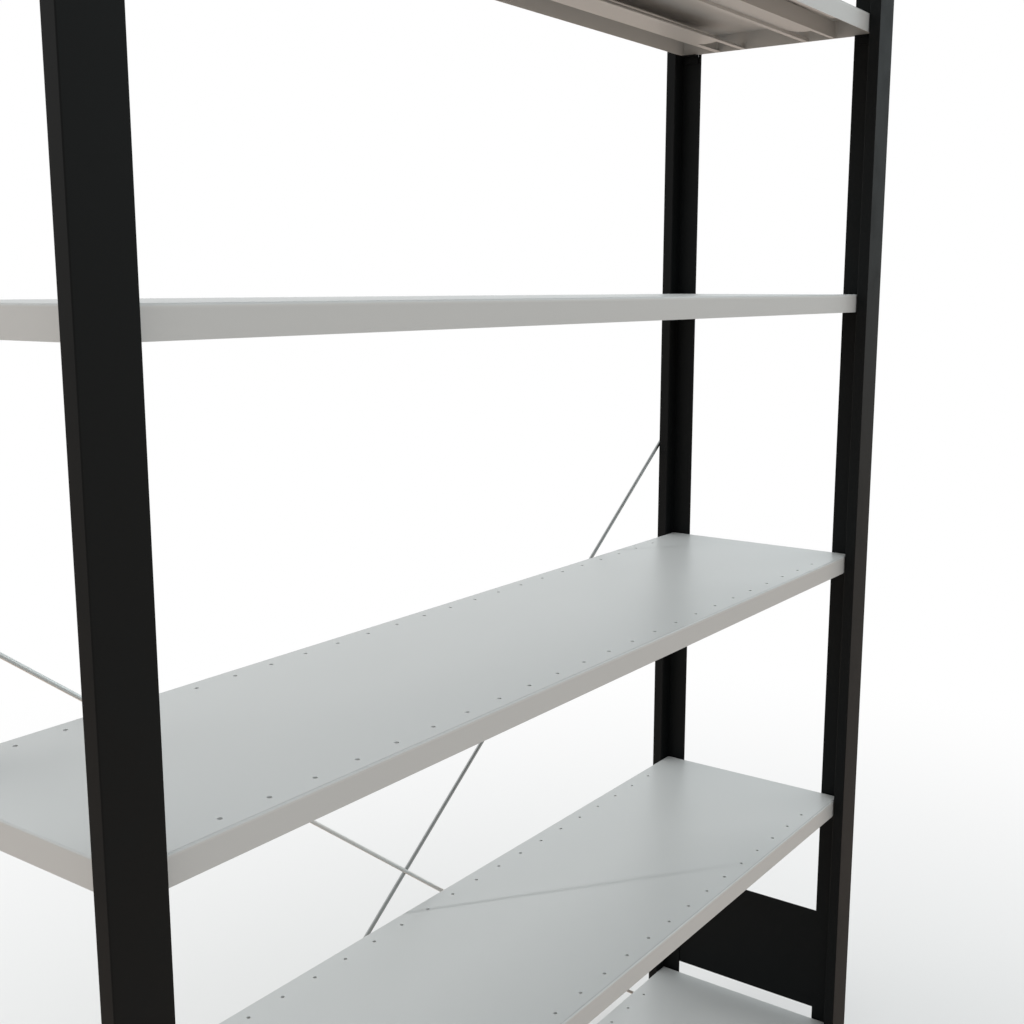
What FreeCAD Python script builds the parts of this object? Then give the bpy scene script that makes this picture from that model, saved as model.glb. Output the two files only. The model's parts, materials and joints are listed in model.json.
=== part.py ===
import FreeCAD, Part
import os
import re
import Sketcher

# Archive shelving bay: four T posts, side ties, a rod cross brace at the back and lift-out steel shelves.
# Millimetres. X runs along the bay, Y from front to back, Z up. The origin is on the floor, in the middle
# of the footprint, which takes in the brace rods behind the posts.

V = FreeCAD.Vector
SHELF_COUNT = 6

SIZES = {
    # Bay
    "bay_width": 1300,
    "bay_depth": 300,
    "shelf_pitch": 380,
    "low_shelf": 105,
    "head_room": 15,
    # T posts
    "flange_width": 50,
    "flange_depth": 15,
    "web_depth": 30,
    "web_thick": 2,
    "post_wall": 1.5,
    "post_bend": 1,
    # Feet and caps
    "foot_thick": 5,
    "foot_margin": 2,
    "cap_thick": 5,
    "cap_round": 1.5,
    "plug_length": 15,
    "plug_clear": 0.2,
    # Shelf trays
    "shelf_end_gap": 2,
    "shelf_side_gap": 1.5,
    "shelf_height": 25,
    "shelf_sheet": 1,
    "shelf_bend": 2,
    "lip_width": 5,
    "lip_setback": 136,
    "hole_size": 4.5,
    "hole_pitch": 50,
    "hole_inset": 18,
    "hole_margin": 75,
    # Stiffening ribs under a shelf
    "rib_inset": 55,
    "rib_width": 48.5,
    "rib_sheet": 1,
    "rib_rim": 7.5,
    "rib_rise": 4,
    "rib_gap": 2,
    "rib_setback": 73,
    "rib_tongue": 10,
    "rib_weld": 2,
    # Shelf clips
    "clip_margin": 4,
    "clip_sheet": 2,
    "clip_drop": 12,
    "clip_ledge": 10,
    "clip_lead": 3,
    "clip_hook": 6,
    "clip_clear": 0.2,
    "slot_play": 0.4,
    # Side ties and their rivets
    "tie_lift": 17,
    "tie_height": 164,
    "tie_sheet": 1.5,
    "tie_gap": 2,
    "tie_corner": 4,
    "rivet_size": 6,
    "rivet_head": 11,
    "rivet_flat": 1,
    "rivet_dome": 2.5,
    "rivet_clear": 0.1,
    "rivet_inset": 22,
    # Cross brace
    "rod_size": 5,
    "rod_bend": 5,
    "rod_reach": 10,
    "rod_clear": 0.7,
    "rod_gap": 0.4,
    "brace_lift": 2.5,
    "brace_rise": 1000,
}

doc = FreeCAD.newDocument("archive_shelving")
sheet = doc.addObject("Spreadsheet::Sheet", "Sizes")
for row, (alias, value) in enumerate(SIZES.items(), start=1):
    sheet.set("A%d" % row, alias)
    sheet.set("B%d" % row, str(value))
    sheet.setAlias("B%d" % row, alias)
doc.recompute()


def ex(formula):
    """Writes a formula over the size names as an expression over the sheet."""
    return re.sub(r"[a-z_]+", lambda word: "Sizes." + word[0] if word[0] in SIZES else word[0], formula)


def number(formula):
    value = sheet.evalExpression(ex(formula))
    return float(getattr(value, "Value", value))


# Formulas that several pieces share
TOP_SHELF = "(low_shelf + %d * shelf_pitch)" % (SHELF_COUNT - 1)
TOTAL = "(%s + head_room)" % TOP_SHELF
POST_LENGTH = "(%s - foot_thick - cap_thick)" % TOTAL
POST_X = "(bay_width / 2 + web_thick / 2)"
POST_Y = "(bay_depth / 2)"
WEB_MID = "(bay_depth / 2 - web_depth / 2)"
SHELF_X = "(bay_width / 2 - shelf_end_gap)"
SHELF_Y = "(bay_depth / 2 - shelf_side_gap)"
TIE_LOW = "(low_shelf + tie_lift)"
TIE_HIGH = "(%s - %s - tie_height)" % (TOTAL, TIE_LOW)
BRACE_LOW = "(foot_thick + plug_length + rod_size / 2 + brace_lift)"
RIVET_HOLE = "(rivet_size / 2 + rivet_clear)"
# A hook is still in its bend where it goes through the flange's wall, so its hole takes the bend's inside
HOOK_INSIDE = "(rod_bend - rod_size / 2)"
HOOK_HOLE = "(rod_bend - sqrt(%s ^ 2 - (%s - rod_gap) ^ 2) + rod_clear)" % (HOOK_INSIDE, HOOK_INSIDE)
SLOT_SILL = "(shelf_height + clip_lead + clip_sheet)"
BAY_SHIFT = "((rod_size + rod_gap) / 2)"


def new_body(label, x="0", y="0", z="0", turn=0):
    body = doc.addObject("PartDesign::Body", label)
    body.Label = label
    body.Placement = FreeCAD.Placement(V(), FreeCAD.Rotation(V(0, 0, 1), turn))
    for axis, formula in zip("xyz", (x, "%s - %s" % (y, BAY_SHIFT), z)):
        body.setExpression("Placement.Base." + axis, ex(formula))
    return body


def origin_part(body, role):
    return [part for part in body.Origin.OriginFeatures if part.Role == role][0]


def new_sketch(body, name, plane, along="0"):
    """A sketch on one of the body's own planes, moved along the plane's normal."""
    sketch = body.newObject("Sketcher::SketchObject", name)
    sketch.AttachmentSupport = [(origin_part(body, plane), "")]
    sketch.MapMode = "FlatFace"
    sketch.setExpression("AttachmentOffset.Base.z", ex(along))
    return sketch


def hold(sketch, kind, geometry, point, formula):
    """Ties one coordinate of a point to a formula over the sizes."""
    spot = sketch.addConstraint(Sketcher.Constraint(kind, -1, 1, geometry, point, number(formula)))
    name = "%s_%d_%d" % (kind, geometry, point)
    sketch.renameConstraint(spot, name)
    sketch.setExpression("Constraints." + name, ex(formula))


def bind_radius(sketch, geometry, formula):
    spot = sketch.addConstraint(Sketcher.Constraint("Radius", geometry, number(formula)))
    sketch.renameConstraint(spot, "Radius_%d" % geometry)
    sketch.setExpression("Constraints.Radius_%d" % geometry, ex(formula))


def outline(sketch, points, arcs, closed=True):
    """Lines from point to point; arcs gives the runs that are bent, by a point on the way and a radius."""
    first = sketch.GeometryCount
    spots = [V(number(x), number(y), 0) for x, y in points]
    count = len(points)
    runs = count if closed else count - 1
    ends = []
    for i in range(runs):
        start, stop = spots[i], spots[(i + 1) % count]
        ends.append((1, 2))
        if i not in arcs:
            sketch.addGeometry(Part.LineSegment(start, stop), False)
            continue
        way = V(number(arcs[i][0]), number(arcs[i][1]), 0)
        sketch.addGeometry(Part.Arc(start, way, stop), False)
        # An arc runs anticlockwise in a sketch, so one that is drawn clockwise has its ends swapped
        if (way - start).cross(stop - way).z < 0:
            ends[i] = (2, 1)
    for i in range(runs if closed else runs - 1):
        after = (i + 1) % runs
        meeting = (first + i, ends[i][1], first + after, ends[after][0])
        sketch.addConstraint(Sketcher.Constraint("Coincident", *meeting))
    for i, (x, y) in enumerate(points):
        run = min(i, runs - 1)
        point = ends[run][i - run]
        hold(sketch, "DistanceX", first + run, point, x)
        hold(sketch, "DistanceY", first + run, point, y)
    for i in arcs:
        bind_radius(sketch, first + i, arcs[i][2])


def polygon(sketch, points):
    outline(sketch, points, {})


def rectangle(sketch, left, bottom, right, top):
    polygon(sketch, [(left, bottom), (right, bottom), (right, top), (left, top)])


def circle(sketch, x, y, radius):
    index = sketch.addGeometry(Part.Circle(V(number(x), number(y), 0), V(0, 0, 1), number(radius)), False)
    hold(sketch, "DistanceX", index, 3, x)
    hold(sketch, "DistanceY", index, 3, y)
    bind_radius(sketch, index, radius)


def add_pad(body, sketch, length, both_ways=False, back=False):
    pad = body.newObject("PartDesign::Pad", sketch.Name + "_pad")
    pad.Profile = sketch
    pad.setExpression("Length", ex(length))
    pad.Midplane = both_ways
    pad.Reversed = back
    return pad


def add_cut(body, sketch, length):
    """Cuts a sketch through, half its length to each side of the sketch's plane."""
    cut = body.newObject("PartDesign::Pocket", sketch.Name + "_cut")
    cut.Profile = sketch
    cut.setExpression("Length", ex(length))
    cut.Midplane = True
    return cut


def mirror_step(body, name, plane):
    step = body.newObject("PartDesign::Mirrored", name)
    step.MirrorPlane = (origin_part(body, plane), [""])
    return step


def row_step(body, name, axis, length, count):
    step = body.newObject("PartDesign::LinearPattern", name)
    step.Direction = (origin_part(body, axis), [""])
    step.setExpression("Length", ex(length))
    step.setExpression("Occurrences", ex(count))
    return step


def repeat(body, name, features, steps):
    """Repeats features by mirrors and rows, one after the other."""
    multi = body.newObject("PartDesign::MultiTransform", name)
    multi.Originals = features
    multi.Transformations = steps
    body.Tip = multi
    return multi


def round_edges(body, name, radius, test):
    """Rounds the edges of the body so far whose box, in the body's own frame, passes the test."""
    doc.recompute()
    tip = body.Tip
    names = ["Edge%d" % i for i, edge in enumerate(tip.Shape.Edges, start=1) if test(edge.BoundBox)]
    fillet = body.newObject("PartDesign::Fillet", name)
    fillet.Base = (tip, names)
    fillet.setExpression("Radius", ex(radius))
    body.Tip = fillet
    return fillet


def near(a, b):
    return abs(a - b) < 0.01


# T posts: a hollow flange at the outside of the bay and a web that points into it

def make_post(label, side, end):
    """One post; its own frame has the flange's inner face on Y = 0 and the web along +Y."""
    body = new_body(label, "%d * %s" % (side, POST_X), "%d * %s" % (end, POST_Y), "foot_thick",
                    90 + 90 * end)
    section = new_sketch(body, label + "_section", "XY_Plane")
    half, web = "flange_width / 2", "web_thick / 2"
    polygon(section, [
        ("- " + half, "- flange_depth"), (half, "- flange_depth"), (half, "0"), (web, "0"),
        (web, "web_depth"), ("- " + web, "web_depth"), ("- " + web, "0"), ("- " + half, "0"),
    ])
    rectangle(section, "- %s + post_wall" % half, "- flange_depth + post_wall",
              "%s - post_wall" % half, "- post_wall")
    add_pad(body, section, POST_LENGTH)
    edge = number(half)
    round_edges(body, label + "_bends", "post_bend",
                lambda box: near(box.XLength + box.YLength, 0) and near(abs(box.XMin), edge))

    # Slots in the web, one for each shelf clip
    slot = new_sketch(body, label + "_slot", "YZ_Plane")
    sill = "low_shelf - foot_thick - %s" % SLOT_SILL
    rectangle(slot, "clip_margin - slot_play / 2", sill, "web_depth - clip_margin + slot_play / 2",
              "%s + clip_sheet + clip_hook + slot_play" % sill)
    cut = add_cut(body, slot, "web_thick * 2")
    climb = "%d * shelf_pitch" % (SHELF_COUNT - 1)
    levels = row_step(body, label + "_levels", "Z_Axis", climb, str(SHELF_COUNT))
    repeat(body, label + "_slots", [cut], [levels])

    # Holes in the web for the rivets of the low and the high tie
    rivets = new_sketch(body, label + "_rivet_holes", "YZ_Plane")
    sinks = new_sketch(body, label + "_rivet_sinks", "YZ_Plane", "%d * web_thick / 2" % (side * end))
    for base in (TIE_LOW, TIE_HIGH):
        for height in ("rivet_inset", "(tie_height - rivet_inset)"):
            level = "%s - foot_thick + %s" % (base, height)
            circle(rivets, "web_depth / 2", level, RIVET_HOLE)
            circle(sinks, "web_depth / 2", level, "rivet_head / 2 + rivet_clear")
    add_cut(body, rivets, "web_thick * 2")
    add_cut(body, sinks, "rivet_flat * 2")

    # Holes in the outer wall of a rear post's flange for the hooks of the brace rods
    if end > 0:
        hooks = new_sketch(body, label + "_hook_holes", "XZ_Plane", "flange_depth - post_wall / 2")
        for height in (BRACE_LOW, BRACE_LOW + " + brace_rise"):
            circle(hooks, "0", "%s - foot_thick" % height, HOOK_HOLE)
        add_cut(body, hooks, "post_wall * 2")
    return body


def plug_outline(sketch):
    """The outline of a plug that goes into the hollow flange."""
    inset = "(post_wall + plug_clear)"
    rectangle(sketch, "- flange_width / 2 + " + inset, "- flange_depth + " + inset,
              "flange_width / 2 - " + inset, "- " + inset)


def make_foot(label, side, end):
    body = new_body(label, "%d * %s" % (side, POST_X), "%d * %s" % (end, POST_Y), "0", 90 + 90 * end)
    sole = new_sketch(body, label + "_sole", "XY_Plane")
    rectangle(sole, "- flange_width / 2", "- flange_depth", "flange_width / 2", "web_depth + foot_margin")
    add_pad(body, sole, "foot_thick")
    round_edges(body, label + "_corners", "foot_margin", lambda box: near(box.XLength + box.YLength, 0))
    plug = new_sketch(body, label + "_plug", "XY_Plane", "foot_thick")
    plug_outline(plug)
    add_pad(body, plug, "plug_length")
    return body


def make_cap(label, side, end):
    body = new_body(label, "%d * %s" % (side, POST_X), "%d * %s" % (end, POST_Y), "%s - cap_thick" % TOTAL,
                    90 + 90 * end)
    plate = new_sketch(body, label + "_plate", "XY_Plane")
    rectangle(plate, "- flange_width / 2", "- flange_depth", "flange_width / 2", "0")
    add_pad(body, plate, "cap_thick")
    top = number("cap_thick")
    round_edges(body, label + "_rounding", "cap_round", lambda box: near(box.ZMax, top))
    plug = new_sketch(body, label + "_plug", "XY_Plane")
    plug_outline(plug)
    add_pad(body, plug, "plug_length", back=True)
    return body


# Side ties: flat plates on the outside of the webs, riveted to the front and the rear post

def make_tie(label, side, base):
    body = new_body(label, z=base, turn=90 - 90 * side)
    plate = new_sketch(body, label + "_plate", "YZ_Plane", "bay_width / 2 + web_thick")
    reach = "(bay_depth / 2 - tie_gap)"
    rectangle(plate, "- " + reach, "0", reach, "tie_height")
    for y in ("- " + WEB_MID, WEB_MID):
        for height in ("rivet_inset", "tie_height - rivet_inset"):
            circle(plate, y, height, RIVET_HOLE)
    add_pad(body, plate, "tie_sheet")
    edge = number(reach)
    round_edges(body, label + "_corners", "tie_corner",
                lambda box: near(box.YLength + box.ZLength, 0) and near(abs(box.YMin), edge))
    return body


def make_rivets(label, side, base):
    """The four rivets of a tie: domed heads outside, flat heads sunk flush into the webs inside."""
    body = new_body(label, z="%s + rivet_inset" % base, turn=90 - 90 * side)
    half = new_sketch(body, label + "_half", "XZ_Plane", WEB_MID)
    inner, outer = "bay_width / 2", "bay_width / 2 + web_thick + tie_sheet"
    sunk, dome = inner + " + rivet_flat", outer + " + rivet_dome"
    head, shank = "rivet_head / 2", "rivet_size / 2"
    ball = "((rivet_head ^ 2 / 4 + rivet_dome ^ 2) / (2 * rivet_dome))"
    way = "%s - %s + sqrt(%s ^ 2 - rivet_head ^ 2 / 16)" % (dome, ball, ball)
    outline(half, [
        (inner, "0"), (dome, "0"), (outer, head), (outer, shank), (sunk, shank), (sunk, head), (inner, head),
    ], {1: (way, "rivet_head / 4", ball)})
    turned = body.newObject("PartDesign::Revolution", label + "_turned")
    turned.Profile = half
    turned.ReferenceAxis = (half, ["H_Axis"])
    turned.Angle = 360
    rows = row_step(body, label + "_row", "Z_Axis", "tie_height - 2 * rivet_inset", "2")
    behind = mirror_step(body, label + "_rear", "XZ_Plane")
    repeat(body, label + "_set", [turned], [rows, behind])
    return body


# Shelves: folded trays with two ribs under each, and the clips that carry them

def make_tray(label, level):
    """The tray's own frame has its top face on Z = 0."""
    body = new_body(label, z="low_shelf + %d * shelf_pitch" % level)
    fold = new_sketch(body, label + "_fold", "YZ_Plane")
    wall = "(%s - shelf_sheet)" % SHELF_Y
    lip = "(%s - lip_width)" % SHELF_Y
    bottom, lip_top = "- shelf_height", "- shelf_height + shelf_sheet"
    polygon(fold, [
        (SHELF_Y, "0"), (SHELF_Y, bottom), (wall, bottom), (wall, "- shelf_sheet"),
        ("- " + wall, "- shelf_sheet"), ("- " + wall, lip_top), ("- " + lip, lip_top), ("- " + lip, bottom),
        ("- " + SHELF_Y, bottom), ("- " + SHELF_Y, "0"),
    ])
    add_pad(body, fold, "2 * " + SHELF_X, both_ways=True)

    # The front edge has a lip that stops well short of the corners
    gap = new_sketch(body, label + "_lip_gap", "XY_Plane", "- shelf_height + shelf_sheet / 2")
    rectangle(gap, SHELF_X + " - lip_setback", "- " + wall,
              SHELF_X + " + shelf_sheet", "- %s + shelf_sheet" % lip)
    gap_cut = add_cut(body, gap, "shelf_sheet * 2")
    repeat(body, label + "_lip_gaps", [gap_cut], [mirror_step(body, label + "_gap_left", "YZ_Plane")])

    end = new_sketch(body, label + "_end", "YZ_Plane", SHELF_X + " - shelf_sheet")
    rectangle(end, "- " + wall, bottom, wall, "- shelf_sheet")
    end_pad = add_pad(body, end, "shelf_sheet")
    repeat(body, label + "_ends", [end_pad], [mirror_step(body, label + "_end_left", "YZ_Plane")])

    # Bends: the outside of the top edges and corners, and the inside of the long top edges
    x, y = number(SHELF_X), number(SHELF_Y)
    inside, under = number(wall), - number("shelf_sheet")
    round_edges(body, label + "_inner_bends", "shelf_bend - shelf_sheet",
                lambda box: near(box.ZMax, under) and near(box.ZLength + box.YLength, 0)
                and near(abs(box.YMin), inside))
    round_edges(body, label + "_bends", "shelf_bend",
                lambda box: (near(box.ZMax, 0) and near(box.ZLength, 0))
                or (near(abs(box.XMin), x) and near(abs(box.YMin), y) and near(box.XLength + box.YLength, 0)))

    # Two rows of small holes along the front and the rear edge, for dividers and stops
    half_count = "floor((bay_width / 2 - hole_margin) / hole_pitch)"
    half_row = "hole_pitch * " + half_count
    hole = new_sketch(body, label + "_hole", "XY_Plane", "- shelf_sheet / 2")
    circle(hole, "- " + half_row, SHELF_Y + " - hole_inset", "hole_size / 2")
    hole_cut = add_cut(body, hole, "shelf_sheet * 2")
    row = row_step(body, label + "_row", "X_Axis", "2 * " + half_row, "2 * %s + 1" % half_count)
    front_row = mirror_step(body, label + "_front_row", "XZ_Plane")
    repeat(body, label + "_holes", [hole_cut], [row, front_row])
    return body


def make_rib(label, level, end):
    """A rib: one folded sheet with a tall wall on its outer side, a web that rises to a step, and an inner rim.
    Its own frame has the outer side towards +Y and the tray's bottom edge on Z = 0."""
    body = new_body(label, y="%d * (%s - rib_inset - rib_width / 2)" % (end, SHELF_Y),
                    z="low_shelf + %d * shelf_pitch - shelf_height" % level, turn=90 - 90 * end)
    length = "(%s - shelf_sheet)" % SHELF_X
    top = "shelf_height - shelf_sheet - rib_gap"
    outer, inner = "rib_width / 2", "- rib_width / 2"
    step = inner + " + rib_rim"
    wall, riser = outer + " - rib_sheet", step + " - rib_sheet"
    fold = new_sketch(body, label + "_fold", "YZ_Plane")
    polygon(fold, [
        (outer, "0"), (outer, top), (wall, top), (wall, "rib_sheet"), (riser, "rib_rise + rib_sheet"),
        (riser, "rib_sheet"), (inner, "rib_sheet"), (inner, "0"), (step, "0"), (step, "rib_rise"),
    ])
    add_pad(body, fold, "2 * " + length, both_ways=True)

    # Near each end the web stops in a rounded tongue, and only its two rims run on to the end of the tray
    stop, past = "(%s - rib_setback)" % SHELF_X, length + " + rib_sheet"
    half = "(rib_width / 2 - rib_rim)"
    bow = "(%s ^ 2 + rib_tongue ^ 2) / (2 * rib_tongue)" % half
    mouth = new_sketch(body, label + "_mouth", "XY_Plane")
    outline(mouth, [(stop, "- " + half), (past, "- " + half), (past, half), (stop, half)],
            {3: (stop + " + rib_tongue", "0", bow)})
    mouth_cut = add_cut(body, mouth, "4 * (rib_rise + rib_sheet)")
    repeat(body, label + "_mouths", [mouth_cut], [mirror_step(body, label + "_mouth_left", "YZ_Plane")])

    # Weld beads on both sides of the wall's ends
    weld = new_sketch(body, label + "_weld", "XY_Plane")
    polygon(weld, [
        (length, outer + " + rib_weld"), (length + " - rib_weld", outer), (length + " - rib_weld", wall),
        (length, wall + " - rib_weld"),
    ])
    weld_pad = add_pad(body, weld, top)
    repeat(body, label + "_welds", [weld_pad], [mirror_step(body, label + "_weld_left", "YZ_Plane")])
    return body


def make_clips(label, level):
    """The four clips of one shelf: a ledge under the tray's end and a hook through the web's slot."""
    body = new_body(label, z="low_shelf + %d * shelf_pitch - shelf_height" % level)
    profile = new_sketch(body, label + "_profile", "XZ_Plane", WEB_MID)
    face, back = "bay_width / 2", "bay_width / 2 + web_thick + clip_clear"
    edge, skin, outside = face + " - clip_ledge", face + " - clip_sheet", back + " + clip_sheet"
    sill = "- clip_lead - clip_sheet"
    polygon(profile, [
        (edge, "0"), (face, "0"), (face, "- clip_lead"), (outside, "- clip_lead"),
        (outside, sill + " - clip_hook"), (back, sill + " - clip_hook"), (back, sill), (face, sill),
        (face, "- clip_drop"), (skin, "- clip_drop"), (skin, "- clip_sheet"), (edge, "- clip_sheet"),
    ])
    clip = add_pad(body, profile, "web_depth - 2 * clip_margin", both_ways=True)
    to_left = mirror_step(body, label + "_left", "YZ_Plane")
    to_rear = mirror_step(body, label + "_rear", "XZ_Plane")
    repeat(body, label + "_set", [clip], [to_left, to_rear])
    return body


# Cross brace: two round rods behind the rear posts, bent at both ends into the holes of the flanges

def make_rod(label, slope, bowed):
    """A straight rod, or one that bows to the front in the middle, where it crosses the other. Its own frame
    has X along the slanted run and the hooks towards -Y."""
    lift = "(rod_gap + rod_size / 2)"
    body = new_body(label, y="bay_depth / 2 + flange_depth + " + lift, z="%s + brace_rise / 2" % BRACE_LOW)
    body.Placement = FreeCAD.Placement(body.Placement.Base, FreeCAD.Rotation(V(0, 1, 0), 1))
    body.setExpression("Placement.Rotation.Angle", ex("%d * atan(brace_rise / (2 * %s))" % (slope, POST_X)))
    half = "(sqrt(brace_rise ^ 2 + (2 * %s) ^ 2) / 2)" % POST_X
    hook = "(%s + rod_reach)" % lift
    path = new_sketch(body, label + "_path", "XY_Plane")
    lean = "rod_bend * (1 - sqrt(0.5))"
    middle = [("0", "- (rod_size + rod_gap)")] if bowed else []
    outline(path, [
        ("- " + half, "- " + hook), ("- " + half, "- rod_bend"), ("- %s + rod_bend" % half, "0"), *middle,
        ("%s - rod_bend" % half, "0"), (half, "- rod_bend"), (half, "- " + hook),
    ], {1: ("- %s + %s" % (half, lean), "- " + lean, "rod_bend"),
        3 + len(middle): ("%s - %s" % (half, lean), "- " + lean, "rod_bend")}, closed=False)
    ring = new_sketch(body, label + "_ring", "XZ_Plane", hook)
    circle(ring, "- " + half, "0", "rod_size / 2")
    pipe = body.newObject("PartDesign::AdditivePipe", label + "_pipe")
    pipe.Profile = ring
    pipe.Spine = (path, ["Edge%d" % i for i in range(1, 6 + len(middle))])
    pipe.Transition = "Right corner"
    body.Tip = pipe
    return body


# The whole bay
pieces = []
for end, depth_name in ((-1, "front"), (1, "rear")):
    for side, side_name in ((-1, "left"), (1, "right")):
        corner = "%s_%s" % (depth_name, side_name)
        pieces.append(make_post("post_" + corner, side, end))
        pieces.append(make_foot("foot_" + corner, side, end))
        pieces.append(make_cap("cap_" + corner, side, end))
for side, side_name in ((-1, "left"), (1, "right")):
    for base, base_name in ((TIE_LOW, "lower"), (TIE_HIGH, "upper")):
        place = "%s_%s" % (base_name, side_name)
        pieces.append(make_tie("side_tie_" + place, side, base))
        pieces.append(make_rivets("rivets_" + place, side, base))
for level in range(SHELF_COUNT):
    pieces.append(make_tray("shelf_tray_%d" % (level + 1), level))
    pieces.append(make_rib("shelf_rib_front_%d" % (level + 1), level, -1))
    pieces.append(make_rib("shelf_rib_rear_%d" % (level + 1), level, 1))
    pieces.append(make_clips("shelf_clips_%d" % (level + 1), level))
pieces.append(make_rod("brace_rod_falling", 1, bowed=True))
pieces.append(make_rod("brace_rod_rising", -1, bowed=False))
doc.recompute()

faults = [item.Name for item in doc.Objects if "Invalid" in item.State or "Error" in item.State]
faults += [piece.Label for piece in pieces if piece.Shape.isNull() or not piece.Shape.isValid()]
if faults:
    raise RuntimeError("failed: " + ", ".join(faults))

os.makedirs("parts", exist_ok=True)
for piece in pieces:
    piece.Shape.exportStep("parts/%s.step" % piece.Label)
box = FreeCAD.BoundBox()
for piece in pieces:
    box.add(piece.Shape.optimalBoundingBox(False))
print("%d pieces, %.1f x %.1f x %.1f mm" % (len(pieces), box.XLength, box.YLength, box.ZLength))
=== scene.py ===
import json
import math

import bmesh
import bpy
from bpy.props import FloatProperty, FloatVectorProperty, PointerProperty
from mathutils import Matrix, Vector


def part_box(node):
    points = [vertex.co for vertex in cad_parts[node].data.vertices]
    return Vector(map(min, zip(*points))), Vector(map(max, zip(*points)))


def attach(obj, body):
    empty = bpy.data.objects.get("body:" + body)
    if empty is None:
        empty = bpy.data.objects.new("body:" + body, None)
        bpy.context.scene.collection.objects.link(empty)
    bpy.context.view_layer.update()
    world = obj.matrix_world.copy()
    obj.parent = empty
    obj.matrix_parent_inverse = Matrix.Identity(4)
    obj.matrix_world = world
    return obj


bl_info = {
    "name": "Archive shelving finishes",
    "version": (1, 0, 0),
    "blender": (4, 5, 0),
    "location": "3D View > Sidebar > Shelving",
    "description": "Powder coat, zinc and plastic finishes for an archive shelving bay, with a plain studio",
    "category": "Material",
}

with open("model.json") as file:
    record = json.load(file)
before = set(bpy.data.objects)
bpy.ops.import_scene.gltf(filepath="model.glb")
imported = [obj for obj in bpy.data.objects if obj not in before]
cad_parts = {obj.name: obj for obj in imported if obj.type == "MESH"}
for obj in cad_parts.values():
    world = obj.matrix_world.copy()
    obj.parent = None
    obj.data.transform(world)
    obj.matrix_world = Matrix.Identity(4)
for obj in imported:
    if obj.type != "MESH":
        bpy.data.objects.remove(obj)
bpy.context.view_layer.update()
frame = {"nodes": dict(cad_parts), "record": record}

# Measures of the bay, taken from its solids
SHELF_NAMES = sorted(name for name in frame["nodes"] if name.startswith("shelf_tray_"))
LOW_TRAY, NEXT_TRAY = (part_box(name) for name in SHELF_NAMES[:2])
SHELF_LOW = LOW_TRAY[1].z
SHELF_PITCH = NEXT_TRAY[1].z - LOW_TRAY[1].z
SHELF_FRONT = LOW_TRAY[0].y
ROD_LOW, ROD_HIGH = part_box("brace_rod_falling")
ROD_LEAN = math.atan2(ROD_HIGH.z - ROD_LOW.z, ROD_HIGH.x - ROD_LOW.x)

# The divider holes' necks: a profile point is a share of the wall outwards and a share of the length down
MM_IN_METRE = 1000
HOLE_PITCH_MM = 50.0
NECK_SIDES = 20
NECK_PROFILE = ((0.0, 0.0), (0.0, 0.9), (0.3, 1.0), (0.7, 1.0), (1.0, 0.9), (1.0, 0.0))

# Sizes, places and targets of the studio's lamps, in metres
FILL_SIZE = (3.0, 2.0)
FILL_PLACE = Vector((-0.9, -2.7, 2.6))
FILL_TARGET = Vector((0.0, 0.0, 1.0))
REAR_SIZE = (2.0, 1.5)
REAR_PLACE = Vector((-1.9, 1.7, 2.6))
REAR_TARGET = Vector((-0.3, 0.0, 0.9))
STRIP_SIZE = (3.0, 0.06)
STRIP_DISTANCE = 4.0

# Where each part of the light around the bay starts and is full, as a direction's share along its axis
BACKDROP_REACH = (0.0, 0.9)
SKY_REACH = (0.1, 0.9)
RIGHT_REACH = (0.1, 0.9)
LEFT_REACH = (-0.4, -0.9)

# Distance from the middle of the bay within which the floor has not begun to fade, in metres
FLOOR_PLAIN = 0.4

# Width of the camera's frame in millimetres, and the white of the floor and backdrop
SENSOR_WIDTH = 36.0
WHITE = (1.0, 1.0, 1.0, 1.0)


# Shader writing

class Value:
    """An output socket of a shader. Sums and products of values add Math nodes to it."""

    def __init__(self, shader, socket):
        self.shader = shader
        self.socket = socket

    def math(self, operation, *terms):
        return self.shader.node("ShaderNodeMath", {"operation": operation}, dict(enumerate(terms)))

    def __add__(self, other):
        return self.math("ADD", self, other)

    __radd__ = __add__

    def __sub__(self, other):
        return self.math("SUBTRACT", self, other)

    def __rsub__(self, other):
        return self.math("SUBTRACT", other, self)

    def __mul__(self, other):
        return self.math("MULTIPLY", self, other)

    __rmul__ = __mul__

    def __truediv__(self, other):
        return self.math("DIVIDE", self, other)

    def __rtruediv__(self, other):
        return self.math("DIVIDE", other, self)

    def __abs__(self):
        return self.math("ABSOLUTE", self)

    def fraction(self):
        return self.math("FRACT", self)

    def larger(self, other):
        return self.math("MAXIMUM", self, other)

    def swing(self, width):
        """A noise as a rise and fall about 0, of this width from its lowest to its highest."""
        return (self - 0.5) * width

    def mean(self, other, share):
        """The mean of this value and another, weighed by this one's share."""
        return self * share + other * (1.0 - share)

    def ramp(self, start, end):
        """0 before start and 1 after end, smooth between them; start may be the larger."""
        low, high, first, last = (start, end, 0.0, 1.0) if start < end else (end, start, 1.0, 0.0)
        return self.shader.node(
            "ShaderNodeMapRange", {"interpolation_type": "SMOOTHSTEP"},
            {"Value": self, "From Min": low, "From Max": high, "To Min": first, "To Max": last})


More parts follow.
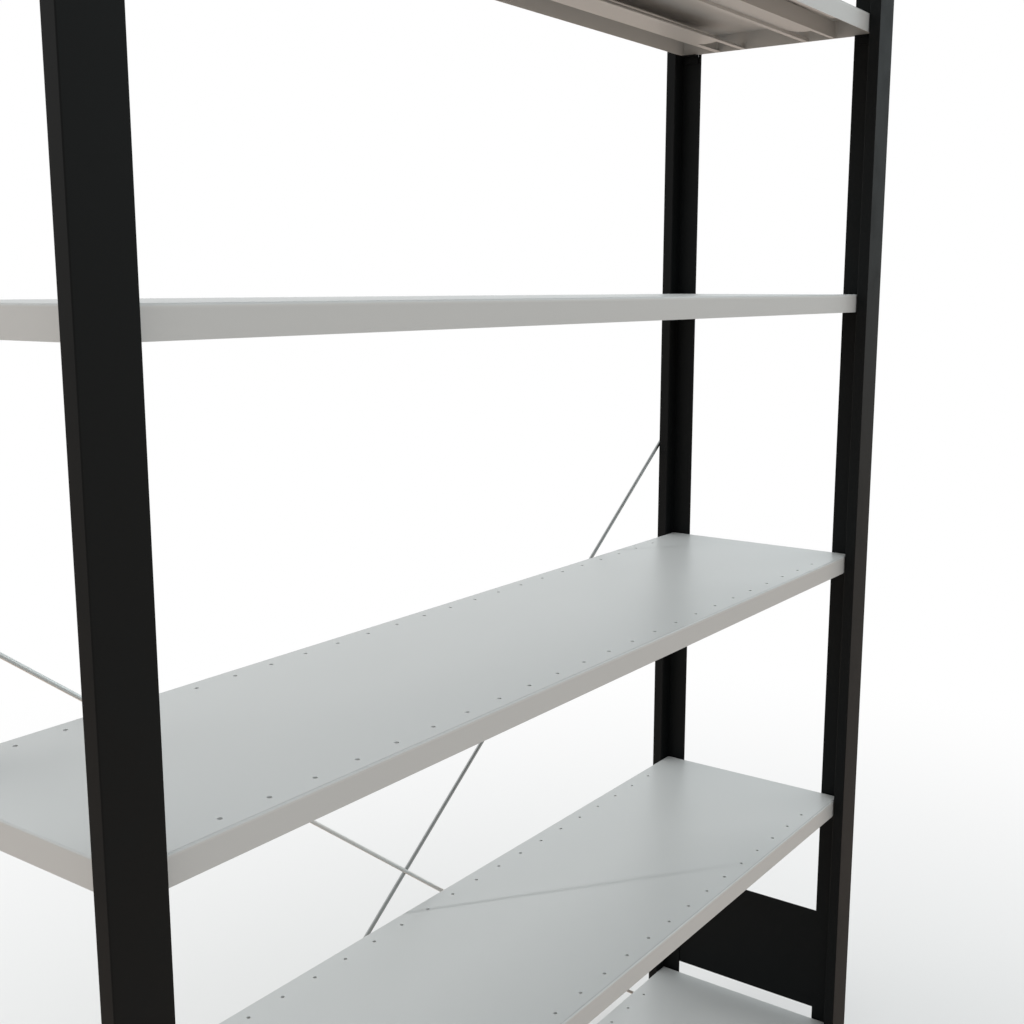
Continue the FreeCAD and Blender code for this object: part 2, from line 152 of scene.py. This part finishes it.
class Shader:
    """Writes the nodes of one material or world."""

    def __init__(self, owner):
        owner.use_nodes = True
        self.tree = owner.node_tree
        self.tree.nodes.clear()

    def node(self, kind, settings=None, inputs=None, output=0):
        """Adds a node, sets it and then its sockets' values or links, and gives an output if it has any."""
        made = self.tree.nodes.new(kind)
        for name, setting in (settings or {}).items():
            setattr(made, name, setting)
        for name, given in (inputs or {}).items():
            if isinstance(given, Value):
                self.tree.links.new(given.socket, made.inputs[name])
            else:
                made.inputs[name].default_value = given
        return Value(self, made.outputs[output]) if made.outputs else None

    def place(self):
        """The point on the piece in the frame of the bay, in metres; it stays with a moving piece."""
        return self.node("ShaderNodeTexCoord", output="Object")

    def facing(self):
        """The direction in which the piece's surface faces; it stays with a moving piece."""
        return self.node("ShaderNodeTexCoord", output="Normal")

    def axes(self, vector):
        split = self.node("ShaderNodeSeparateXYZ", inputs={"Vector": vector})
        return [Value(self, socket) for socket in split.socket.node.outputs]

    def turned(self, vector, angle, scale):
        """A vector turned about the Y axis and then stretched."""
        flat = self.node("ShaderNodeMapping", {}, {"Vector": vector, "Rotation": (0.0, angle, 0.0)})
        return self.node("ShaderNodeMapping", {}, {"Vector": flat, "Scale": scale})

    def length(self, vector):
        return self.node("ShaderNodeVectorMath", {"operation": "LENGTH"}, {0: vector}, output="Value")

    def noise(self, vector, scale, detail=2.0, roughness=0.5):
        """A noise between 0 and 1; its scale is in cells to a metre."""
        return self.node("ShaderNodeTexNoise", {},
                         {"Vector": vector, "Scale": scale, "Detail": detail, "Roughness": roughness})

    def blend(self, share, first, second):
        """A colour between two colours."""
        return self.node("ShaderNodeMix", {"data_type": "RGBA"}, {0: share, 6: first, 7: second}, output=2)

    def bump(self, height, strength, distance):
        return self.node("ShaderNodeBump", {},
                         {"Height": height, "Strength": strength, "Distance": distance})

    def principled(self, **inputs):
        named = {name.replace("_", " "): given for name, given in inputs.items()}
        return self.node("ShaderNodeBsdfPrincipled", {}, named)

    def diffuse(self, colour):
        return self.node("ShaderNodeBsdfDiffuse", {}, {"Color": colour})

    def background(self, strength, colour=WHITE):
        return self.node("ShaderNodeBackground", {}, {"Color": colour, "Strength": strength})

    def join(self, share, first, second):
        """A surface or background between two of them."""
        return self.node("ShaderNodeMixShader", {}, {0: share, 1: first, 2: second})

    def show(self, kind, shader):
        """Ends the nodes in an output for a material or a world."""
        self.node(kind, {}, {"Surface": shader})

    def surface(self, shader):
        self.show("ShaderNodeOutputMaterial", shader)


def new_material(name):
    """A material without nodes, the shader that writes them and the place on the piece."""
    material = bpy.data.materials.new(name)
    shader = Shader(material)
    return material, shader, shader.place()


def tone(colour, share=1.0):
    """A colour property, lighter or darker by a share, as a socket's four numbers."""
    return tuple(share * part for part in colour) + (1.0,)


def coat_nodes(pieces, material):
    """Puts a material on every face of CAD pieces."""
    for piece in pieces:
        piece.data.materials.clear()
        piece.data.materials.append(material)


def nodes_named(*starts):
    """The CAD pieces whose names start with one of these words."""
    return [piece for name, piece in frame["nodes"].items() if name.startswith(starts)]


# Finishes

def grey_powder_coat(finish):
    """Light grey satin powder coat: faint clouds of tone and gloss over a fine peel, dull underneath.

    The front edge of each shelf has a painted highlight, a little lighter and less rough, and a thin painted
    shade line where its fold begins.
    """
    material, shader, place = new_material("grey_powder_coat")
    clouds = shader.noise(place, scale=2.6, detail=3.0)
    patches = shader.noise(place, scale=11.0, detail=4.0)
    peel = shader.noise(place, scale=420.0, detail=1.0)
    grain = shader.noise(place, scale=1500.0, detail=2.0)
    _, y, z = shader.axes(place)
    behind_front = y - SHELF_FRONT
    over_top = ((z - SHELF_LOW) / SHELF_PITCH + 0.5).fraction() * SHELF_PITCH - SHELF_PITCH / 2
    highlight_span, fold = finish.painted_highlight_width, finish.fold_radius
    # Painted highlight: a lighter band painted along each shelf's front edge where the bend catches the
    # light; its roughness is lowered there too
    painted_edge_highlight = behind_front.ramp(highlight_span, 0.0) * abs(over_top + highlight_span / 2).ramp(highlight_span, 0.0)
    # Painted shade: a thin dark line painted where the fold begins, in place of the dark reflection in the
    # bend
    painted_fold_shade = abs(behind_front - fold).ramp(finish.fold_line, 0.0) * abs(over_top).ramp(fold, 0.0)
    under = shader.axes(shader.facing())[2].ramp(start=-0.5, end=-0.9)
    shade = shader.blend(clouds.mean(patches, share=0.7),
                         tone(finish.grey, share=0.965), tone(finish.grey, share=1.035))
    shade = shader.blend(painted_edge_highlight * patches.mean(1.0, share=0.5), shade, tone(finish.grey, share=1.12))
    shade = shader.blend(painted_fold_shade * 0.7, shade, tone(finish.grey, share=0.7))
    rough = finish.grey_rough + clouds.swing(0.10) + patches.swing(0.06) - painted_edge_highlight * 0.10 + under * 0.05
    bump = shader.bump(peel.mean(grain, share=0.7), strength=0.10, distance=0.0002)
    shader.surface(shader.principled(
        Base_Color=shade, Roughness=rough, Specular_IOR_Level=finish.grey_shine, Normal=bump))
    return material


def black_powder_coat(finish):
    """Satin black powder coat: a fine peel, and a little grey where dust and hands dull it."""
    material, shader, place = new_material("black_powder_coat")
    clouds = shader.noise(place, scale=3.1, detail=3.0)
    patches = shader.noise(place, scale=16.0, detail=5.0, roughness=0.6)
    peel = shader.noise(place, scale=480.0, detail=1.0)
    grain = shader.noise(place, scale=1700.0, detail=2.0)
    dull = patches.ramp(start=0.48, end=0.72) * clouds
    shade = shader.blend(dull * 0.6, tone(finish.black), tone(finish.black, share=1.7))
    rough = finish.black_rough + dull * 0.10 + clouds.swing(0.08)
    bump = shader.bump(peel.mean(grain, share=0.6), strength=0.12, distance=0.0002)
    shader.surface(shader.principled(
        Base_Color=shade, Roughness=rough, Specular_IOR_Level=finish.black_shine, Normal=bump))
    return material


def drawn_zinc(finish, name, colour, lean):
    """Zinc plate on a drawn rod: fine streaks along the rod and a faint spangle."""
    material, shader, place = new_material(name)
    along = shader.turned(place, lean, scale=(6.0, 900.0, 900.0))
    streaks = shader.noise(along, scale=1.0, detail=3.0, roughness=0.6)
    spangle = shader.noise(place, scale=240.0, detail=2.0)
    shade = shader.blend(streaks.mean(spangle, share=0.6),
                         tone(colour, share=0.93), tone(colour, share=1.06))
    rough = finish.zinc_rough + streaks.swing(0.10) + spangle.swing(0.05)
    bump = shader.bump(streaks, strength=0.06, distance=0.0001)
    shader.surface(shader.principled(Base_Color=shade, Metallic=1.0, Roughness=rough, Normal=bump))
    return material


def moulded_plastic(finish):
    """Black moulded plastic with an even fine grain."""
    material, shader, place = new_material("moulded_plastic")
    grain = shader.noise(place, scale=1300.0, detail=2.0)
    flow = shader.noise(place, scale=40.0, detail=2.0)
    shade = shader.blend(flow, tone(finish.plastic, share=0.85), tone(finish.plastic, share=1.2))
    rough = finish.plastic_rough + grain.swing(0.2)
    bump = shader.bump(grain, strength=0.35, distance=0.0003)
    shader.surface(shader.principled(Base_Color=shade, Roughness=rough, Normal=bump))
    return material


# Settings that a user would change

class ShelvingFinish(bpy.types.PropertyGroup):
    """Colours and gloss of the bay's finishes"""

    grey: FloatVectorProperty(
        name="Shelf grey", description="Colour of the shelves' powder coat", subtype="COLOR",
        default=(0.470, 0.482, 0.478))
    grey_rough: FloatProperty(
        name="Shelf roughness", description="Roughness of the shelves' powder coat", subtype="FACTOR",
        default=0.36, min=0.0, max=1.0)
    grey_shine: FloatProperty(
        name="Shelf shine", description="Strength of the reflections in the shelves' powder coat",
        subtype="FACTOR", default=0.36, min=0.0, max=1.0)
    fold_radius: FloatProperty(
        name="Fold radius", description="Radius of the fold along the shelf's front edge", unit="LENGTH",
        default=0.002, min=0.0005, max=0.01)
    # Painted shade: half the width of the dark line painted where the fold begins
    fold_line: FloatProperty(
        name="Fold line", description="Half the width of the dark line where the fold begins",
        unit="LENGTH", default=0.0009, min=0.0001, max=0.003)
    # Painted highlight: width of the lighter band painted along the shelf's front edge
    painted_highlight_width: FloatProperty(
        name="Highlighted edge", description="Width of the shelf's front edge that hands polish",
        unit="LENGTH", default=0.003, min=0.0005, max=0.02)
    neck_length: FloatProperty(
        name="Neck length", description="How far the necks of the divider holes go down under the sheet",
        unit="LENGTH", default=0.0035, min=0.0005, max=0.01)
    neck_wall: FloatProperty(
        name="Neck wall", description="Thickness of the necks' wall", unit="LENGTH",
        default=0.0008, min=0.0002, max=0.002)
    black: FloatVectorProperty(
        name="Post black", description="Colour of the posts' powder coat", subtype="COLOR",
        default=(0.0031, 0.0039, 0.0041))
    black_rough: FloatProperty(
        name="Post roughness", description="Roughness of the posts' powder coat", subtype="FACTOR",
        default=0.55, min=0.0, max=1.0)
    black_shine: FloatProperty(
        name="Post shine", description="Strength of the reflections in the posts' powder coat",
        subtype="FACTOR", default=0.135, min=0.0, max=1.0)
    # Painted reflection: both rods are one zinc; the falling rod's colour is painted lighter and the rising
    # rod's darker, for the brighter and darker reflections they show
    falling_zinc_painted_light: FloatVectorProperty(
        name="Falling rod zinc", description="Colour of the zinc plate on the rod that falls to the right",
        subtype="COLOR", default=(0.675, 0.682, 0.675))
    rising_zinc_painted_shade: FloatVectorProperty(
        name="Rising rod zinc", description="Colour of the zinc plate on the rod that rises to the right",
        subtype="COLOR", default=(0.395, 0.415, 0.415))
    zinc_rough: FloatProperty(
        name="Rod roughness", description="Roughness of the zinc plate", subtype="FACTOR",
        default=0.36, min=0.0, max=1.0)
    plastic: FloatVectorProperty(
        name="Plastic black", description="Colour of the feet and caps", subtype="COLOR",
        default=(0.012, 0.012, 0.0125))
    plastic_rough: FloatProperty(
        name="Plastic roughness", description="Roughness of the feet and caps", subtype="FACTOR",
        default=0.55, min=0.0, max=1.0)


class ShelvingStage(bpy.types.PropertyGroup):
    """Camera, floor and light of the studio"""

    camera_place: FloatVectorProperty(
        name="Camera place", description="Where the camera stands", subtype="TRANSLATION",
        default=(-1.1503, -0.8385, 1.2552))
    camera_heading: FloatProperty(
        name="Camera heading", description="Direction of view, from the bay's length towards its back",
        subtype="ANGLE", default=math.radians(35.997))
    camera_dip: FloatProperty(
        name="Camera dip", description="How far the camera looks down", subtype="ANGLE",
        default=math.radians(9.966))
    camera_lens: FloatProperty(
        name="Lens", description="Focal length on a 36 mm frame", subtype="DISTANCE_CAMERA",
        default=44.99)
    floor_size: FloatProperty(
        name="Floor size", description="Side of the floor", unit="LENGTH", default=120.0)
    floor_tone: FloatVectorProperty(
        name="Floor tone", description="Colour that the floor throws back on the bay", subtype="COLOR",
        default=(0.68, 0.54, 0.455))
    floor_chalk: FloatVectorProperty(
        name="Floor chalk", description="Colour of the floor by the bay, where it shows the bay's shadow",
        subtype="COLOR", default=(0.68, 0.675, 0.67))
    floor_fade: FloatProperty(
        name="Floor fade", description="Distance at which the floor has faded to white", unit="LENGTH",
        default=2.8)
    floor_gloss: FloatProperty(
        name="Floor in gloss", description="How much of the floor's white shows in glossy pieces",
        subtype="FACTOR", default=0.12, min=0.0, max=1.0)
    light_tone: FloatVectorProperty(
        name="Light tone", description="Colour of the light around the bay", subtype="COLOR",
        default=(0.965, 0.993, 1.0))
    sky_light: FloatProperty(
        name="Sky light", description="Light from overhead and from the backdrop", default=0.94)
    right_tone: FloatVectorProperty(
        name="Right tone", description="Colour of the light from the right of the bay", subtype="COLOR",
        default=(0.87, 0.975, 1.0))
    right_light: FloatProperty(
        name="Right light", description="Light from the room to the right of the bay", default=1.4)
    front_light: FloatProperty(
        name="Front light", description="Light from the room in front of the bay", default=0.29)
    left_light: FloatProperty(
        name="Left light", description="Light from the room to the left of the bay", default=0.85)
    fill_power: FloatProperty(
        name="Fill power", description="Power of the large soft lamp in front", unit="POWER",
        default=22.0)
    fill_tone: FloatVectorProperty(
        name="Fill tone", description="Colour of the large soft lamp in front", subtype="COLOR",
        default=(0.86, 0.94, 1.0))
    rear_power: FloatProperty(
        name="Rear power", description="Power of the soft lamp behind the bay on the left", unit="POWER",
        default=21.0)
    rear_tone: FloatVectorProperty(
        name="Rear tone", description="Colour of the soft lamp behind the bay on the left",
        subtype="COLOR", default=(1.0, 0.99, 0.97))
    strip_power: FloatProperty(
        name="Strip power", description="Power of the long strip lamp high behind the bay", unit="POWER",
        default=45.0)
    strip_heading: FloatProperty(
        name="Strip heading", subtype="ANGLE", default=math.radians(52.0),
        description="Where the strip lamp hangs, from the bay's length towards its back")
    strip_height: FloatProperty(
        name="Strip height", description="Angle of the strip lamp above the middle of the brace",
        subtype="ANGLE", default=math.radians(52.0))


# Operators, one to a group of like pieces

class SHELVING_OT_posts(bpy.types.Operator):
    """Coat the posts, side ties, rivets and shelf clips black"""

    bl_idname = "shelving.posts"
    bl_label = "Coat posts and ties"

    def execute(self, context):
        pieces = nodes_named("post_", "side_tie_", "rivets_", "shelf_clips_")
        coat_nodes(pieces, black_powder_coat(context.scene.shelving_finish))
        return {"FINISHED"}


class SHELVING_OT_shelves(bpy.types.Operator):
    """Coat the shelf trays and their ribs light grey"""

    bl_idname = "shelving.shelves"
    bl_label = "Coat shelves"

    def execute(self, context):
        pieces = nodes_named("shelf_tray_", "shelf_rib_")
        coat_nodes(pieces, grey_powder_coat(context.scene.shelving_finish))
        return {"FINISHED"}


class SHELVING_OT_necks(bpy.types.Operator):
    """Turn down a short neck under each divider hole of the shelves"""

    bl_idname = "shelving.necks"
    bl_label = "Neck divider holes"

    def execute(self, context):
        finish = context.scene.shelving_finish
        material = nodes_named("shelf_tray_")[0].active_material
        for mount in frame["record"]["mounts"]:
            if mount["kind"] == "bolt_pattern":
                level = mount["name"].split("_")[1]
                necks = self.make_necks(context, finish, mount, level)
                necks.data.materials.append(material)
                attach(necks, "shelf_" + level)
        return {"FINISHED"}

    def make_necks(self, context, finish, mount, level):
        """One mesh of short tubes; a tube goes from the sheet down its inside, round its rim and back up."""
        dims = mount["dims"]
        radius = dims["hole_r_mm"] / MM_IN_METRE
        profile = [(radius + finish.neck_wall * out, finish.neck_length * drop)
                   for out, drop in NECK_PROFILE]
        half_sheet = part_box("shelf_tray_" + level)[1].z - mount["pos_m"][2]
        middle = Vector(mount["pos_m"]) - Vector((0.0, 0.0, half_sheet))
        count = round(dims["spacing_x_mm"] / HOLE_PITCH_MM) + 1
        mesh = bmesh.new()
        for row in (-0.5, 0.5):
            for column in range(count):
                along = (column / (count - 1) - 0.5) * dims["spacing_x_mm"] / MM_IN_METRE
                across = row * dims["spacing_y_mm"] / MM_IN_METRE
                self.add_neck(mesh, middle + Vector((along, across, 0.0)), profile)
        name = "hole_necks_" + level
        data = bpy.data.meshes.new(name)
        mesh.to_mesh(data)
        mesh.free()
        data.polygons.foreach_set("use_smooth", [True] * len(data.polygons))
        necks = bpy.data.objects.new(name, data)
        context.scene.collection.objects.link(necks)
        return necks

    def add_neck(self, mesh, spot, profile):
        """Turns a profile of radii and drops about a spot on the underside of the sheet."""
        turns = [2 * math.pi * step / NECK_SIDES for step in range(NECK_SIDES)]
        rings = []
        for radius, drop in profile:
            corners = [Vector((radius * math.cos(turn), radius * math.sin(turn), -drop)) for turn in turns]
            rings.append([mesh.verts.new(spot + corner) for corner in corners])
        for inner, outer in zip(rings, rings[1:]):
            for step in range(NECK_SIDES):
                after = (step + 1) % NECK_SIDES
                mesh.faces.new((inner[step], inner[after], outer[after], outer[step]))


class SHELVING_OT_rods(bpy.types.Operator):
    """Plate the two brace rods with zinc"""

    bl_idname = "shelving.rods"
    bl_label = "Plate brace rods"

    def execute(self, context):
        finish = context.scene.shelving_finish
        # The two rods get a lighter and a darker painted copy of one zinc, standing in for their different
        # reflections
        for name, colour, lean in (("brace_rod_falling", finish.falling_zinc_painted_light, -ROD_LEAN),
                                   ("brace_rod_rising", finish.rising_zinc_painted_shade, ROD_LEAN)):
            coat_nodes([frame["nodes"][name]], drawn_zinc(finish, name + "_zinc", colour, lean))
        return {"FINISHED"}


class SHELVING_OT_plugs(bpy.types.Operator):
    """Finish the feet and caps of the posts as moulded plastic"""

    bl_idname = "shelving.plugs"
    bl_label = "Mould feet and caps"

    def execute(self, context):
        coat_nodes(nodes_named("foot_", "cap_"), moulded_plastic(context.scene.shelving_finish))
        return {"FINISHED"}


class SHELVING_OT_stage(bpy.types.Operator):
    """Set the floor, the light and the camera"""

    bl_idname = "shelving.stage"
    bl_label = "Set the stage"

    def execute(self, context):
        stage = context.scene.shelving_stage
        self.make_floor(context, stage)
        self.make_world(context, stage)
        self.make_softboxes(context, stage)
        self.make_strip(context, stage)
        self.make_camera(context, stage)
        context.scene.view_settings.view_transform = "Standard"
        return {"FINISHED"}

    def make_floor(self, context, stage):
        """A floor that throws a warm light on the bay, and looks like chalk by the bay and white far off."""
        half = stage.floor_size / 2
        mesh = bpy.data.meshes.new("floor")
        mesh.from_pydata([(-half, -half, 0), (half, -half, 0), (half, half, 0), (-half, half, 0)], [],
                         [(0, 1, 2, 3)])
        floor = bpy.data.objects.new("floor", mesh)
        context.scene.collection.objects.link(floor)
        material, shader, place = new_material("pale_floor")
        mesh.materials.append(material)
        near = shader.length(place).ramp(stage.floor_fade, FLOOR_PLAIN)
        white = shader.node("ShaderNodeEmission", {}, {"Color": WHITE})
        pale = shader.join(near, white, shader.diffuse(tone(stage.floor_chalk)))
        camera, glossy, through = self.seen_rays(shader)
        seen = camera.larger(glossy * stage.floor_gloss).larger(through)
        shader.surface(shader.join(seen, shader.diffuse(tone(stage.floor_tone)), pale))

    def seen_rays(self, shader):
        """1 for each kind of ray that can see the backdrop: from the camera, off gloss and through glass."""
        path = shader.node("ShaderNodeLightPath").socket.node
        kinds = ("Camera", "Glossy", "Transmission")
        return [Value(shader, path.outputs["Is %s Ray" % kind]) for kind in kinds]

    def make_world(self, context, stage):
        """A white backdrop under a bright sky, and a room in front of the bay, dimmest in its middle."""
        world = bpy.data.worlds.new("studio")
        context.scene.world = world
        shader = Shader(world)
        x, y, z = shader.axes(shader.node("ShaderNodeTexCoord", output="Generated"))
        strengths = (stage.sky_light, stage.front_light, stage.left_light)
        sky, middle, left = (shader.background(strength, tone(stage.light_tone)) for strength in strengths)
        right = shader.background(stage.right_light, tone(stage.right_tone))
        front = shader.join(x.ramp(*RIGHT_REACH), middle, right)
        front = shader.join(x.ramp(*LEFT_REACH), front, left)
        behind = y.ramp(*BACKDROP_REACH)
        soft = shader.join(behind.larger(z.ramp(*SKY_REACH)), front, sky)
        camera, glossy, through = self.seen_rays(shader)
        seen = camera.larger(glossy * behind).larger(through)
        shader.show("ShaderNodeOutputWorld", shader.join(seen, soft, shader.background(1.0)))

    def make_lamp(self, context, name, power, size):
        """A flat lamp that lights the bay and doesn't show in its gloss."""
        data = bpy.data.lights.new(name, "AREA")
        data.shape = "RECTANGLE"
        data.size, data.size_y = size
        data.energy = power
        lamp = bpy.data.objects.new(name, data)
        lamp.visible_glossy = False
        context.scene.collection.objects.link(lamp)
        return lamp

    def make_softboxes(self, context, stage):
        """A large lamp in front, and one behind on the left that lightens the shelves towards that end."""
        for name, power, colour, size, place, target in (
                ("fill", stage.fill_power, stage.fill_tone, FILL_SIZE, FILL_PLACE, FILL_TARGET),
                ("rear", stage.rear_power, stage.rear_tone, REAR_SIZE, REAR_PLACE, REAR_TARGET)):
            lamp = self.make_lamp(context, name, power, size)
            lamp.data.color = colour
            lamp.location = place
            lamp.rotation_euler = (target - place).to_track_quat("-Z", "Y").to_euler()

    def make_strip(self, context, stage):
        """A long thin lamp in one plane with the rising rod, so that only that rod draws a thin shadow."""
        lamp = self.make_lamp(context, "strip", stage.strip_power, STRIP_SIZE)
        level = math.cos(stage.strip_height)
        back = Vector((level * math.cos(stage.strip_heading), level * math.sin(stage.strip_heading),
                       math.sin(stage.strip_height)))
        rod = Vector((math.cos(ROD_LEAN), 0.0, math.sin(ROD_LEAN)))
        across = rod.cross(back).normalized()
        turn = Matrix((across.cross(back), across, back)).transposed()
        place = (ROD_LOW + ROD_HIGH) / 2 + back * STRIP_DISTANCE
        lamp.matrix_world = Matrix.Translation(place) @ turn.to_4x4()

    def make_camera(self, context, stage):
        data = bpy.data.cameras.new("camera")
        data.lens = stage.camera_lens
        data.sensor_width = SENSOR_WIDTH
        camera = bpy.data.objects.new("camera", data)
        camera.location = stage.camera_place
        camera.rotation_euler = (math.pi / 2 - stage.camera_dip, 0.0, stage.camera_heading - math.pi / 2)
        context.scene.collection.objects.link(camera)
        context.scene.camera = camera


class SHELVING_PT_panel(bpy.types.Panel):
    """The bay's finishes and stage in the sidebar"""

    bl_idname = "SHELVING_PT_panel"
    bl_label = "Archive shelving"
    bl_space_type = "VIEW_3D"
    bl_region_type = "UI"
    bl_category = "Shelving"

    def draw(self, context):
        for operator in OPERATORS:
            self.layout.operator(operator.bl_idname)
        for settings in (context.scene.shelving_finish, context.scene.shelving_stage):
            column = self.layout.column()
            for name in settings.bl_rna.properties.keys():
                if name not in ("rna_type", "name"):
                    column.prop(settings, name)


OPERATORS = (SHELVING_OT_posts, SHELVING_OT_shelves, SHELVING_OT_necks, SHELVING_OT_rods,
             SHELVING_OT_plugs, SHELVING_OT_stage)
CLASSES = (ShelvingFinish, ShelvingStage, *OPERATORS, SHELVING_PT_panel)


def register():
    for entry in CLASSES:
        bpy.utils.register_class(entry)
    bpy.types.Scene.shelving_finish = PointerProperty(type=ShelvingFinish)
    bpy.types.Scene.shelving_stage = PointerProperty(type=ShelvingStage)


def unregister():
    del bpy.types.Scene.shelving_stage
    del bpy.types.Scene.shelving_finish
    for entry in reversed(CLASSES):
        bpy.utils.unregister_class(entry)


def main():
    register()
    bpy.ops.shelving.posts()
    bpy.ops.shelving.shelves()
    bpy.ops.shelving.necks()
    bpy.ops.shelving.rods()
    bpy.ops.shelving.plugs()
    bpy.ops.shelving.stage()


if __name__ == "__main__":
    main()
